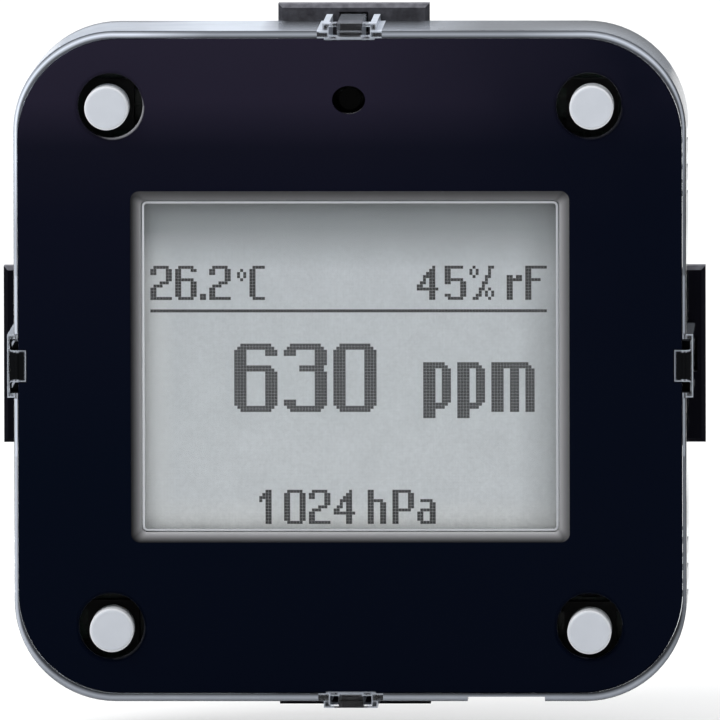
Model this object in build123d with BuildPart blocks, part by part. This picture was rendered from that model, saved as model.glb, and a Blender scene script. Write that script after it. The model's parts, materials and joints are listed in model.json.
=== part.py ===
"""Wall-mounted air quality monitor, built as an assembly of separate pieces.

Frame: the origin is the centre of the wall face of the support plate, +Z is up and the display
faces -Y.  A depth is a distance from the wall towards the viewer, so a depth of 24 is y = -24.
Everything is in millimetres.
"""
from build123d import *
import os

os.makedirs("parts", exist_ok=True)

# ---------------------------------------------------------------- driving dimensions
# Outside shape
face_depth = 24.0          # front face of panel and rim
housing_size = 81.0        # clear housing, square
housing_corner = 12.2
wall = 1.8                 # clear side wall
housing_back = 3.4         # depth of the wall's rear edge
panel_width, panel_height = 80.0, 79.0
panel_corner = 12.2
panel_thick = 2.0

# Support plate on the wall
plate_thick = 3.2
plate_size = 79.4
plate_corner = 11.4
tab_reach = 42.55          # from the centre to each tab's outer edge
tab_width_top, tab_width_side = 18.3, 21.4
cable_opening = 46.0
box_screw_pitch = 60.0     # wall box screws
screw_slot_width, screw_slot_length = 4.2, 7.2

# Snap clips, one in the middle of each side: half widths along the side, and the inward reach
clip_outer = 41.3          # outside of the bulge
clip_side = {"bulge": 3.8, "tongue": 1.9, "slot": 3.1, "bar": 1.9, "reach": 39.05}
clip_top = {"bulge": 3.25, "tongue": 1.5, "slot": 2.5, "bar": 3.0, "reach": 39.35}
clips = [(0, clip_side), (90, clip_top), (180, clip_side), (270, clip_top)]
clip_skin = 0.4            # outer skin of the bulge in front of the slots
clip_bar = 0.5             # bar beside the panel that each tongue hangs from
clip_gap = 0.08            # room between the bar and the panel
clip_bridge = 4.0          # depth of that skin, measured from the face
hook_catch = 1.7           # depth of the ledge behind which each hook rests
hook_tip = 0.7             # depth of the hook's end
hook_floor = 0.4           # skin left between each hook pocket and the wall
hook_nose = 0.7            # how far the hook reaches inwards

# Window and display
window_width, window_height = 52.85, 42.4
window_centre = (0.0, -0.1)
throat_width, throat_height = 50.4, 40.1
bevel_depth = 1.4
lens_width, lens_height = 50.1, 39.8
lens_flange_width, lens_flange_height = 55.0, 45.0
lens_thick = 1.0
lens_front = 22.7
tape_thick = 0.2
lcd_width, lcd_height = 54.6, 46.6
lcd_glass_thick = 0.8
lcd_ledge = 3.0            # contact ledge of the rear glass
lcd_frame_front = 20.6
lcd_frame_width, lcd_frame_height = 58.0, 50.0

# Buttons
cap_diameter = 5.3
cap_pitch_x, cap_pitch_z = 58.0, 62.8
hole_pitch_x = 57.6
cap_play = {                # each cap rests a little off the centre of its place
    "upper_left": (-0.21, -0.20), "upper_right": (0.14, -0.16),
    "lower_left": (0.26, -0.37), "lower_right": (-0.21, -0.62),
}
hole_diameter = 7.8
cap_front = 26.0
cap_back = 19.9
stem_diameter = 3.3
button_travel = 0.6
switch_size = 6.2
switch_front = 19.1

# Boards
board_size = 75.6
board_corner = 9.6
board_back, board_front = 14.0, 15.6
boss_x, boss_z = 35.0, 16.0
boss_diameter = 5.2
cover_back, cover_inside = 3.5, 5.0
cover_size = 76.8
cover_corner = 10.1

# Terminal block for the supply and data wires
poles, pole_pitch = 4, 3.81
terminal_z = -28.0
terminal_back, terminal_height = 3.8, 8.0
terminal_width = poles * pole_pitch + 0.6

panel_back = face_depth - panel_thick
lens_back = panel_back - tape_thick - lens_thick
button_corners = {
    "upper_left": (-1, 1), "upper_right": (1, 1), "lower_left": (-1, -1), "lower_right": (1, -1),
}
boss_places = [(sx * boss_x, sz * boss_z) for sx in (-1, 1) for sz in (-1, 1)]
pole_places = [(pole_pitch * (step - (poles - 1) / 2), terminal_z) for step in range(poles)]


def at_depth(depth):
    """Sketch plane facing the viewer: local x is +X, local y is +Z, and extrusions come forward."""
    return Plane.XZ.offset(depth)


def block(width, height, low, high, corner=0.0, centre=(0.0, 0.0), mode=Mode.ADD):
    """Rounded block between two depths, for use inside a BuildPart."""
    with BuildSketch(at_depth(low)) as outline:
        with Locations(centre):
            if corner > 0:
                RectangleRounded(width, height, corner)
            else:
                Rectangle(width, height)
    extrude(outline.sketch, amount=high - low, mode=mode)


def pin(diameter, low, high, centres=((0.0, 0.0),), mode=Mode.ADD):
    """Round pins or holes between two depths, for use inside a BuildPart."""
    with BuildSketch(at_depth(low)) as circles:
        with Locations(*centres):
            Circle(diameter / 2)
    extrude(circles.sketch, amount=high - low, mode=mode)


def side_block(angle, along, inner, outer, low, high, mode=Mode.ADD):
    """Block on one side of the body: along is its range along the side, inner to outer its reach."""
    middle = ((inner + outer) / 2, (along[0] + along[1]) / 2)
    with BuildSketch(at_depth(low)) as outline:
        with Locations(Location((0, 0, 0), (0, 0, angle))):
            with Locations(middle):
                Rectangle(outer - inner, along[1] - along[0])
    extrude(outline.sketch, amount=high - low, mode=mode)


def save(piece, name):
    """Label one finished piece and write its STEP file."""
    piece.part.label = name
    export_step(piece.part, f"parts/{name}.step")


# ---------------------------------------------------------------- support plate
with BuildPart() as support_plate:
    block(plate_size, plate_size, 0, plate_thick, plate_corner)
    block(tab_width_top, 2 * tab_reach, 0, plate_thick)
    block(2 * tab_reach, tab_width_side, 0, plate_thick)
    front_edges = support_plate.faces().sort_by(Axis.Y)[0].outer_wire().edges()
    chamfer(front_edges, 0.5)
    block(cable_opening, cable_opening, 0, plate_thick, 6, mode=Mode.SUBTRACT)
    with BuildSketch(at_depth(0)):
        with PolarLocations(box_screw_pitch / 2, 4):
            SlotOverall(screw_slot_length, screw_slot_width)
    extrude(amount=plate_thick, mode=Mode.SUBTRACT)
    for angle, clip in clips:
        width = (-clip["tongue"] - 0.25, clip["tongue"] + 0.25)
        ledge = clip["reach"] - 0.3
        outer = clip_outer + 0.25
        side_block(angle, width, ledge, outer, hook_floor, plate_thick, Mode.SUBTRACT)
        side_block(angle, width, ledge - hook_nose - 0.1, ledge, hook_floor, hook_catch,
                   Mode.SUBTRACT)
save(support_plate, "support_plate")

# ---------------------------------------------------------------- clear housing
vent_width, vent_low, vent_high = 1.6, 8.0, 18.0
pry_notch_low, pry_notch_high, pry_notch_depth = 14.1, 23.4, 0.55
with BuildPart() as clear_housing:
    block(housing_size, housing_size, housing_back, face_depth, housing_corner)
    fillet(clear_housing.faces().sort_by(Axis.Y)[0].edges(), 0.35)
    for angle, clip in clips:
        reach = clip["bulge"]
        side_block(angle, (-reach, reach), 39.5, clip_outer, housing_back, face_depth - 0.2)
    inside = housing_size - 2 * wall
    block(inside, inside, housing_back, panel_back, housing_corner - wall, mode=Mode.SUBTRACT)
    rebate_width, rebate_height = panel_width + 0.1, panel_height + 0.1
    block(rebate_width, rebate_height, panel_back, face_depth, panel_corner, mode=Mode.SUBTRACT)
    for angle, clip in clips:
        for side in (-1, 1):
            gap = sorted((side * clip["tongue"], side * clip["slot"]))
            skin = clip_outer - clip_skin
            side_block(angle, gap, 38.0, skin, housing_back, face_depth, Mode.SUBTRACT)
            slit_front = face_depth - clip_bridge
            side_block(angle, gap, 38.0, clip_outer + 1, housing_back, slit_front, Mode.SUBTRACT)
        tongue = (-clip["tongue"], clip["tongue"])
        side_block(angle, tongue, clip["reach"], clip_outer, hook_tip, face_depth - 0.2)
        bar = (-clip["bar"], clip["bar"])
        bar_outer = clip["reach"] + clip_bar
        side_block(angle, bar, clip["reach"], bar_outer, panel_back, face_depth - 0.2)
        nose = (clip["reach"] - hook_nose, clip["reach"])
        side_block(angle, tongue, nose[0], nose[1], hook_tip, hook_catch - 0.1)
    pin(boss_diameter, cover_inside, board_back, boss_places)
    for x, z in boss_places:
        angle, middle = (0, z) if x > 0 else (180, -z)
        rib = (middle - 0.7, middle + 0.7)
        side_block(angle, rib, boss_x, housing_size / 2 - wall / 2, cover_inside, board_back)
    pin(1.6, cover_inside, board_back, boss_places, Mode.SUBTRACT)
    vent_centre = (vent_low + vent_high) / 2
    for x in [side * (12.0 + 3.2 * step) for side in (-1, 1) for step in range(5)]:
        with Locations((x, -vent_centre, -housing_size / 2)):
            Box(vent_width, vent_high - vent_low, 3 * wall, mode=Mode.SUBTRACT)
    for z in [side * (21.0 + 3.2 * step) for side in (-1, 1) for step in range(3)]:
        for x in (-housing_size / 2, housing_size / 2):
            with Locations((x, -vent_centre, z)):
                Box(3 * wall, vent_high - vent_low, vent_width, mode=Mode.SUBTRACT)
    side_block(270, (pry_notch_low, pry_notch_high), housing_size / 2 - pry_notch_depth,
               housing_size / 2 + 1, housing_back, face_depth, Mode.SUBTRACT)
save(clear_housing, "clear_housing")

# ---------------------------------------------------------------- front panel
sensor_hole_z = 32.1
hole_places = [(sx * hole_pitch_x / 2, sz * cap_pitch_z / 2) for sx, sz in button_corners.values()]
with BuildPart() as front_panel:
    block(panel_width, panel_height, panel_back, face_depth, panel_corner)
    for angle, clip in clips:
        along = (-clip["bar"] - clip_gap, clip["bar"] + clip_gap)
        notch = clip["reach"] - clip_gap
        side_block(angle, along, notch, 42, panel_back, face_depth, Mode.SUBTRACT)
    pin(hole_diameter, panel_back, face_depth, hole_places, Mode.SUBTRACT)
    with BuildSketch(at_depth(panel_back)) as sensor_hole:
        with Locations((-0.1, sensor_hole_z)):
            Ellipse(2.0, 1.7)
    extrude(sensor_hole.sketch, amount=panel_thick, mode=Mode.SUBTRACT)
    rims = front_panel.faces().sort_by(Axis.Y)[0].edges().filter_by(GeomType.CIRCLE)
    fillet([edge for edge in rims if abs(edge.radius - hole_diameter / 2) < 0.01], 0.5)
    outline = front_panel.faces().sort_by(Axis.Y)[0].outer_wire().edges()
    fillet([edge for edge in outline if edge.length > 8], 0.2)
    block(throat_width, throat_height, panel_back, face_depth, 0.7, window_centre, Mode.SUBTRACT)
    with BuildSketch(at_depth(face_depth - bevel_depth)) as bevel_bottom:
        with Locations(window_centre):
            RectangleRounded(throat_width, throat_height, 0.7)
    with BuildSketch(at_depth(face_depth)) as bevel_top:
        with Locations(window_centre):
            RectangleRounded(window_width, window_height, 1.1)
    loft([bevel_bottom.sketch, bevel_top.sketch], mode=Mode.SUBTRACT)
save(front_panel, "front_panel")

# ---------------------------------------------------------------- window lens and its tape
with BuildPart() as window_lens:
    flange_front = lens_back + lens_thick
    block(lens_flange_width, lens_flange_height, lens_back, flange_front, 1.5, window_centre)
    block(lens_width, lens_height, flange_front, lens_front, 0.6, window_centre)
    chamfer(window_lens.faces().sort_by(Axis.Y)[0].edges(), 0.25)
save(window_lens, "window_lens")

with BuildPart() as lens_tape:
    tape_back = panel_back - tape_thick
    block(lens_flange_width, lens_flange_height, tape_back, panel_back, 1.5, window_centre)
    block(throat_width + 0.8, throat_height + 0.8, tape_back, panel_back, 0.8, window_centre,
          Mode.SUBTRACT)
save(lens_tape, "lens_tape")

# ---------------------------------------------------------------- display module
frame_lip = 0.5
glass_front = lcd_frame_front - frame_lip
rear_glass_back = glass_front - 2 * lcd_glass_thick - 0.05
guide_front, guide_back = 18.35, 15.9
led_room = 3.0
with BuildPart() as lcd_frame:
    block(lcd_frame_width, lcd_frame_height, board_front, lcd_frame_front, 1.0)
    block(lcd_width + 0.3, lcd_height + 0.3, board_front, glass_front, mode=Mode.SUBTRACT)
    block(51.4, 41.4, board_front, lcd_frame_front, 0.8, mode=Mode.SUBTRACT)
    side_block(270, (-15, 15), 20.0, 26.0, board_front, rear_glass_back + 1.2, Mode.SUBTRACT)
    for x in (-22.0, 22.0):
        for z in (-lcd_frame_height / 2 + 0.85, lcd_frame_height / 2 - 0.85):
            block(2.4, 0.8, board_back - 0.9, board_front, centre=(x, z))
save(lcd_frame, "lcd_frame")

with BuildPart() as lcd_front_glass:
    block(lcd_width, lcd_height - lcd_ledge, glass_front - lcd_glass_thick, glass_front,
          centre=(0, lcd_ledge / 2))
    chamfer(lcd_front_glass.faces().sort_by(Axis.Y)[0].edges(), 0.1)
save(lcd_front_glass, "lcd_front_glass")

with BuildPart() as lcd_rear_glass:
    block(lcd_width, lcd_height, rear_glass_back, rear_glass_back + lcd_glass_thick)
    chamfer(lcd_rear_glass.faces().sort_by(Axis.Y)[-1].edges(), 0.1)
save(lcd_rear_glass, "lcd_rear_glass")

ledge_z = -lcd_height / 2 + lcd_ledge / 2
with BuildPart() as lcd_driver_chip:
    chip_low = rear_glass_back + lcd_glass_thick
    block(16.0, 1.2, chip_low, chip_low + 0.45, centre=(0, ledge_z + 0.5))
save(lcd_driver_chip, "lcd_driver_chip")

with BuildPart() as backlight_guide:
    block(lcd_width - led_room, lcd_height - 0.4, guide_back, guide_front, centre=(led_room / 2, 0))
    chamfer(backlight_guide.faces().sort_by(Axis.Y)[-1].edges(), 0.3)
save(backlight_guide, "backlight_guide")

with BuildPart() as backlight_leds:
    for z in (-16.0, -5.3, 5.3, 16.0):
        led_x = -lcd_width / 2 + led_room / 2
        block(1.2, 3.4, board_front, 17.9, centre=(led_x, z))
        block(0.5, 2.6, board_front + 0.3, 17.6, centre=(led_x + 0.7, z))
save(backlight_leds, "backlight_leds")

flex_width, flex_thick = 26.0, 0.16
socket_z, socket_height = -33.4, 4.2
with BuildPart() as lcd_flex:
    ribbon_depth = rear_glass_back + lcd_glass_thick + flex_thick / 2
    with BuildSketch(Plane.YZ.offset(-flex_width / 2)) as ribbon:
        with BuildLine():
            FilletPolyline(
                (-ribbon_depth, ledge_z - 0.25),
                (-ribbon_depth, -26.4),
                (-16.4, -26.4),
                (-16.4, socket_z + socket_height / 2 + 0.02),
                radius=0.7,
            )
        trace(line_width=flex_thick)
    extrude(ribbon.sketch, amount=flex_width)
save(lcd_flex, "lcd_flex")

with BuildPart() as flex_socket:
    block(flex_width + 3, socket_height, board_front, board_front + 1.5, centre=(0, socket_z))
    block(flex_width + 0.4, 1.3, board_front + 1.1, board_front + 1.5,
          centre=(0, socket_z + socket_height / 2 - 0.65), mode=Mode.SUBTRACT)
    block(flex_width + 1.6, 1.0, board_front + 1.5, board_front + 1.9,
          centre=(0, socket_z - socket_height / 2 + 0.9))
save(flex_socket, "flex_socket")

# ---------------------------------------------------------------- main board
climate_centre = (27.0, -24.0)
with BuildPart() as main_board:
    block(board_size, board_size, board_back, board_front, board_corner)
    pin(2.3, board_back, board_front, boss_places, Mode.SUBTRACT)
    pin(1.1, board_back, board_front, pole_places, Mode.SUBTRACT)
    for x in (-22.0, 22.0):
        for z in (-lcd_frame_height / 2 + 0.85, lcd_frame_height / 2 - 0.85):
            block(2.8, 1.2, board_back, board_front, centre=(x, z), mode=Mode.SUBTRACT)
    island_x, island_z = climate_centre
    for z in (island_z - 4.0, island_z + 4.0):
        block(9.0, 1.2, board_back, board_front, 0.5, centre=(island_x + 2.5, z),
              mode=Mode.SUBTRACT)
    block(1.2, 9.2, board_back, board_front, 0.5, centre=(island_x - 2.6, island_z),
          mode=Mode.SUBTRACT)
save(main_board, "main_board")

# ---------------------------------------------------------------- buttons and their switches
flange_diameter, flange_thick = 4.4, 0.6
cavity_front = 18.4
for corner, (side_x, side_z) in button_corners.items():
    play_x, play_z = cap_play[corner]
    place = [(side_x * cap_pitch_x / 2 + play_x, side_z * cap_pitch_z / 2 + play_z)]

    with BuildPart() as switch_body:
        block(switch_size, switch_size, board_front, switch_front - 0.5, 0.6, place[0])
        pin(4.9, switch_front - 0.5, switch_front, place)
        pin(flange_diameter + 0.3, board_front + 0.4, cavity_front, place, Mode.SUBTRACT)
        pin(stem_diameter + 0.2, cavity_front, switch_front, place, Mode.SUBTRACT)
        for x in (-1, 1):
            for z in (-1, 1):
                leg = (place[0][0] + x * 3.35, place[0][1] + z * 2.25)
                block(0.5, 0.8, board_front, board_front + 1.6, centre=leg)
    save(switch_body, f"switch_body_{corner}")

    with BuildPart() as switch_stem:
        flange_front = cavity_front - 0.05
        pin(stem_diameter - 0.6, flange_front - 1.5, flange_front - flange_thick, place)
        pin(flange_diameter, flange_front - flange_thick, flange_front, place)
        pin(stem_diameter, flange_front, cap_back + 2.2, place)
        chamfer(switch_stem.faces().sort_by(Axis.Y)[0].edges(), 0.2)
    save(switch_stem, f"switch_stem_{corner}")

    with BuildPart() as button_cap:
        pin(cap_diameter, cap_back, cap_front, place)
        fillet(button_cap.faces().sort_by(Axis.Y)[0].edges(), 0.45)
        pin(stem_diameter + 0.02, cap_back, cap_back + 2.3, place, Mode.SUBTRACT)
    save(button_cap, f"button_cap_{corner}")

# ---------------------------------------------------------------- light sensor behind the top hole
with BuildPart() as light_pipe:
    pin(4.6, board_front + 1.5, board_front + 2.3, [(0, sensor_hole_z)])
    pin(3.2, board_front + 2.3, panel_back - 0.4, [(0, sensor_hole_z)])
    chamfer(light_pipe.faces().sort_by(Axis.Y)[0].edges(), 0.3)
    for x in (-1.7, 1.7):
        pin(0.8, board_front, board_front + 1.5, [(x, sensor_hole_z)])
save(light_pipe, "light_pipe")

with BuildPart() as light_sensor:
    block(2.0, 2.0, board_front, board_front + 0.8, 0.2, (0, sensor_hole_z))
    block(1.2, 1.2, board_front + 0.8, board_front + 1.0, 0.2, (0, sensor_hole_z))
save(light_sensor, "light_sensor")

# ---------------------------------------------------------------- carbon dioxide sensor
co2_x, co2_z = -13.0, 16.0
co2_width, co2_height = 34.0, 20.0
co2_board_low, co2_board_high = 11.2, 12.4
co2_pins = [(co2_x - co2_width / 2 + 1.6, co2_z + 2.54 * step) for step in (-2, -1, 0, 1, 2)]
co2_pins += [(co2_x + co2_width / 2 - 1.6, co2_z + 2.54 * step) for step in (-1, 0, 1)]
with BuildPart() as co2_board:
    block(co2_width, co2_height, co2_board_low, co2_board_high, 1.0, (co2_x, co2_z))
    pin(0.9, co2_board_low, co2_board_high, co2_pins, Mode.SUBTRACT)
save(co2_board, "co2_board")

with BuildPart() as co2_pin_headers:
    for x, z in co2_pins:
        block(2.4, 2.5, co2_board_high, board_back, 0.4, (x, z))
        pin(0.7, co2_board_low - 1.0, co2_board_high, [(x, z)])
save(co2_pin_headers, "co2_pin_headers")

chamber_width, chamber_height = 25.0, 15.0
chamber_back = 5.6
chamber_x = co2_x + 0.3
with BuildPart() as co2_chamber:
    block(chamber_width, chamber_height, chamber_back, co2_board_low, 2.0, (chamber_x, co2_z))
    fillet(co2_chamber.faces().sort_by(Axis.Y)[-1].edges(), 0.8)
    block(15.0, 8.6, chamber_back, chamber_back + 0.5, 1.2, (chamber_x, co2_z), Mode.SUBTRACT)
    ports = [(chamber_x + 3.2 * column, co2_z + 2.2 * row) for column in (-2, -1, 0, 1, 2)
             for row in (-1, 0, 1)]
    pin(1.5, chamber_back, chamber_back + 2.0, ports, Mode.SUBTRACT)
save(co2_chamber, "co2_chamber")

with BuildPart() as co2_filter:
    block(14.8, 8.4, chamber_back + 0.1, chamber_back + 0.5, 1.1, (chamber_x, co2_z))
save(co2_filter, "co2_filter")

# ---------------------------------------------------------------- other parts on the board
island_x, island_z = climate_centre
with BuildPart() as climate_sensor:
    block(2.5, 2.5, board_back - 0.9, board_back, 0.2, (island_x + 2.5, island_z))
    pin(1.0, board_back - 0.9, board_back - 0.6, [(island_x + 2.5, island_z)], Mode.SUBTRACT)
save(climate_sensor, "climate_sensor")

pressure_centre = (27.0, 4.0)
with BuildPart() as pressure_sensor:
    block(3.0, 3.0, board_back - 1.1, board_back, 0.3, pressure_centre)
    port = (pressure_centre[0] - 0.7, pressure_centre[1] + 0.7)
    pin(0.5, board_back - 1.1, board_back - 0.7, [port], Mode.SUBTRACT)
save(pressure_sensor, "pressure_sensor")

processor_x, processor_z = 14.0, -8.0
with BuildPart() as processor:
    block(10.0, 10.0, board_back - 1.5, board_back - 0.1, 0.3, (processor_x, processor_z))
    pin(1.0, board_back - 1.5, board_back - 1.4, [(processor_x - 3.8, processor_z + 3.8)],
        Mode.SUBTRACT)
    leads = [-3.75 + 0.5 * step for step in range(16)]
    for offset in leads:
        for side in (-1, 1):
            block(1.3, 0.24, board_back - 0.35, board_back,
                  centre=(processor_x + side * 5.5, processor_z + offset))
            block(0.24, 1.3, board_back - 0.35, board_back,
                  centre=(processor_x + offset, processor_z + side * 5.5))
save(processor, "processor")

with BuildPart() as clock_crystal:
    block(4.6, 2.0, board_back - 1.2, board_back, 0.9, (processor_x, processor_z - 9.5))
save(clock_crystal, "clock_crystal")

regulator_x, regulator_z = -26.0, -12.0
with BuildPart() as voltage_regulator:
    block(6.5, 3.5, board_back - 1.7, board_back - 0.1, 0.2, (regulator_x, regulator_z))
    block(3.1, 1.8, board_back - 0.3, board_back, centre=(regulator_x, regulator_z + 2.5))
    for step in (-1, 0, 1):
        block(0.7, 1.8, board_back - 0.3, board_back,
              centre=(regulator_x + 2.3 * step, regulator_z - 2.5))
save(voltage_regulator, "voltage_regulator")

with BuildPart() as power_inductor:
    block(7.0, 7.0, board_back - 3.4, board_back, 1.2, (-13.0, -11.0))
    chamfer(power_inductor.faces().sort_by(Axis.Y)[-1].edges(), 0.4)
save(power_inductor, "power_inductor")

capacitor_places = [(-28.5, -24.0), (-28.5, -31.2)]
with BuildPart() as smoothing_capacitors:
    for place in capacitor_places:
        block(6.6, 6.6, board_back - 1.0, board_back, 0.8, place)
    pin(6.2, board_back - 6.4, board_back - 1.0, capacitor_places)
    fillet(smoothing_capacitors.faces().sort_by(Axis.Y)[-2:].edges(), 0.4)
save(smoothing_capacitors, "smoothing_capacitors")

chip_rows = [(x, -16.5) for x in (-4.0, -0.5, 3.0)] + [(x, 2.0) for x in (8.0, 11.0, 14.0, 17.0)]
chip_rows += [(22.0, z) for z in (-13.0, -10.0, -7.0, -4.0)] + [(27.0, 9.0), (27.0, 12.0)]
with BuildPart() as chip_parts:
    for place in chip_rows:
        block(2.0, 1.2, board_back - 0.8, board_back, centre=place)
save(chip_parts, "chip_parts")

# ---------------------------------------------------------------- terminal block
with BuildPart() as terminal_block:
    block(terminal_width, terminal_height, terminal_back, board_back, 0.5, (0, terminal_z))
    for x, z in pole_places:
        pin(3.0, terminal_back, board_back - 2.0, [(x, z - 1.4)], Mode.SUBTRACT)
        side_block(90, (-x - 1.3, -x + 1.3), z + 0.1, z + terminal_height, 6.6, 10.2, Mode.SUBTRACT)
    for x, z in pole_places:
        pin(0.9, board_back, board_front + 0.5, [(x, z)])
save(terminal_block, "terminal_block")

with BuildPart() as terminal_screws:
    heads = [(x, z - 1.4) for x, z in pole_places]
    pin(2.8, terminal_back + 0.8, terminal_back + 2.2, heads)
    pin(1.8, terminal_back + 2.2, terminal_back + 6.0, heads)
    for x, z in heads:
        block(2.4, 0.5, terminal_back + 0.8, terminal_back + 1.4, centre=(x, z), mode=Mode.SUBTRACT)
save(terminal_screws, "terminal_screws")

# ---------------------------------------------------------------- rear cover and screws
with BuildPart() as rear_cover:
    block(cover_size, cover_size, cover_back, cover_inside, cover_corner)
    chamfer(rear_cover.faces().sort_by(Axis.Y)[-1].outer_wire().edges(), 0.3)
    block(cover_size - 3.2, cover_size - 3.2, cover_inside, cover_inside + 2.4, cover_corner - 1.6)
    block(cover_size - 5.6, cover_size - 5.6, cover_inside, cover_inside + 2.4, cover_corner - 2.8,
          mode=Mode.SUBTRACT)
    for x, z in boss_places:
        block(9.0, 7.0, cover_inside, cover_inside + 2.4, centre=(x, z), mode=Mode.SUBTRACT)
    pin(2.4, cover_back, cover_inside, boss_places, Mode.SUBTRACT)
    pin(4.4, cover_back, cover_back + 0.9, boss_places, Mode.SUBTRACT)
    opening_centre = (0, terminal_z + 3.0)
    block(terminal_width + 1.6, terminal_height + 8.0, cover_back, cover_inside, 1.0,
          opening_centre, Mode.SUBTRACT)
    for step in range(9):
        for z in (co2_z - 8.0, co2_z + 8.0):
            block(1.6, 13.0, cover_back, cover_inside, 0.7, (co2_x + 3.4 * (step - 4), z),
                  Mode.SUBTRACT)
    for step in range(4):
        block(1.6, 10.0, cover_back, cover_inside, 0.7, (22.0 + 3.4 * step, -24.0), Mode.SUBTRACT)
save(rear_cover, "rear_cover")

with BuildPart() as cover_screws:
    pin(4.0, cover_back + 0.05, cover_back + 0.9, boss_places)
    pin(2.0, cover_back + 0.9, cover_inside, boss_places)
    pin(1.6, cover_inside, cover_inside + 3.6, boss_places)
    for x, z in boss_places:
        for width, height in ((2.4, 0.55), (0.55, 2.4)):
            block(width, height, cover_back, cover_back + 0.5, centre=(x, z), mode=Mode.SUBTRACT)
save(cover_screws, "cover_screws")

with BuildPart() as board_screws:
    pin(3.8, board_front, board_front + 1.3, boss_places)
    pin(2.0, board_back, board_front, boss_places)
    pin(1.6, board_back - 4.0, board_back, boss_places)
    for x, z in boss_places:
        for width, height in ((2.2, 0.55), (0.55, 2.2)):
            block(width, height, board_front + 0.7, board_front + 1.3, centre=(x, z),
                  mode=Mode.SUBTRACT)
save(board_screws, "board_screws")
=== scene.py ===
import json
import math

import bmesh
import bpy
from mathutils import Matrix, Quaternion, Vector


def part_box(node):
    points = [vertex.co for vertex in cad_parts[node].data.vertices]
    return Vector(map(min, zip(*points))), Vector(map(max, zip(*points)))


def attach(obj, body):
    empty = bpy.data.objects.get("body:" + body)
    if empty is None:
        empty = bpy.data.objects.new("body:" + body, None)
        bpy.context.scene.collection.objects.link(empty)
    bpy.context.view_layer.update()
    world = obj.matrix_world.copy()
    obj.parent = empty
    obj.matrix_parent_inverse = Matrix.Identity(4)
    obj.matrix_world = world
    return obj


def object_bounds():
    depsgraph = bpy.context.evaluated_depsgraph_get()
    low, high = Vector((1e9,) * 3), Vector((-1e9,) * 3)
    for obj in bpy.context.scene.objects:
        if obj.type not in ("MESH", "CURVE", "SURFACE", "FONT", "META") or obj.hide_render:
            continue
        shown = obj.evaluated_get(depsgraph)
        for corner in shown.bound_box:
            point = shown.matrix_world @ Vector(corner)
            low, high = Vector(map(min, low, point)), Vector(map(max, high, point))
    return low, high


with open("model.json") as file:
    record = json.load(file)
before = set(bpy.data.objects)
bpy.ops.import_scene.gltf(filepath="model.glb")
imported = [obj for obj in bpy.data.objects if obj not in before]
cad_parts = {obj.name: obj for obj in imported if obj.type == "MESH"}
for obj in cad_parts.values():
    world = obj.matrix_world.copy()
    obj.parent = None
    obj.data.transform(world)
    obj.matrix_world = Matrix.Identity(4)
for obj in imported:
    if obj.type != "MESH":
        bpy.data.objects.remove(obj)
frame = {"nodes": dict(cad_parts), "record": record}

cad_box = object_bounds()
MM = 0.001
WINDOW_HALF_X, WINDOW_HALF_Z = 26.6 * MM, 21.5 * MM
BEVEL_DEPTHS = (-24.0 * MM, -22.6 * MM)      # y of the window bevel's outer and inner edge
HOUSING_HALF, HOUSING_CORNER = 40.5 * MM, 12.2 * MM
CLIP_ZONE = 3.9 * MM                         # half width of a clip, from the middle of its side
TAB_ZONE = 10.9 * MM                         # half width of a side tab
HOLES_ACROSS, HOLES_DIAGONAL = 38.5 * MM, 64 * MM    # limits of the area that holds the button holes

# Zones of the housing's painted light and shade, each the range over which it fades in
TOP_LEFT_ZONE = (57 * MM, 66 * MM)           # of z - x
TOP_RIGHT_ZONE = (60 * MM, 70 * MM)          # of z + x
RIGHT_ZONE = (-1 * MM, 9 * MM)               # of x - |z|
LEFT_ZONE = (-9 * MM, 1 * MM)                # of x + |z|, fading out
LOW_ZONE = (-30 * MM, 0.0)                   # of z, fading out
LEVEL_ZONE = (-8 * MM, 4 * MM)               # of |z| - |x|: the top and bottom sides
CREST_UPRIGHT, CREST_LEVEL = 0.28 * MM, 0.48 * MM    # width of the rim's painted highlight line on those sides
RIM_DEPTHS = (-23.9 * MM, -23.6 * MM)
WALL_DEPTHS = (-23.5 * MM, -3.6 * MM)
FRONT_DEPTHS = (-23.5 * MM, -22.8 * MM)      # where the clips' painted edge highlights fade out
# Depths over which the painted shadow deep in the side clips fades out
SHADOW_DEPTHS = (-8 * MM, -5 * MM)
FACING = (0.25, 0.6)                         # how far a wall turns towards a side, as a normal's share
NODES = frame["nodes"]


# ---------------------------------------------------------------- node material helpers
def new_material(name):
    """Material with its node tree emptied down to a Principled shader and an output."""
    made = bpy.data.materials.new(name)
    made.use_nodes = True
    nodes = made.node_tree.nodes
    nodes.clear()
    shader = nodes.new("ShaderNodeBsdfPrincipled")
    output = nodes.new("ShaderNodeOutputMaterial")
    made.node_tree.links.new(shader.outputs["BSDF"], output.inputs["Surface"])
    return made, shader


def position(tree):
    """Object coordinates, which are metres in the shared frame."""
    return tree.nodes.new("ShaderNodeTexCoord").outputs["Object"]


def noise(tree, size, detail=3.0, stretch=(1.0, 1.0, 1.0), roughness=0.5):
    """Noise value whose patches are about size metres across, stretched along the axes."""
    scaled = tree.nodes.new("ShaderNodeMapping")
    scaled.inputs["Scale"].default_value = tuple(1.0 / (size * s) for s in stretch)
    tree.links.new(position(tree), scaled.inputs["Vector"])
    node = tree.nodes.new("ShaderNodeTexNoise")
    node.inputs["Scale"].default_value = 1.0
    node.inputs["Detail"].default_value = detail
    node.inputs["Roughness"].default_value = roughness
    tree.links.new(scaled.outputs["Vector"], node.inputs["Vector"])
    return node.outputs["Fac"]


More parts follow.
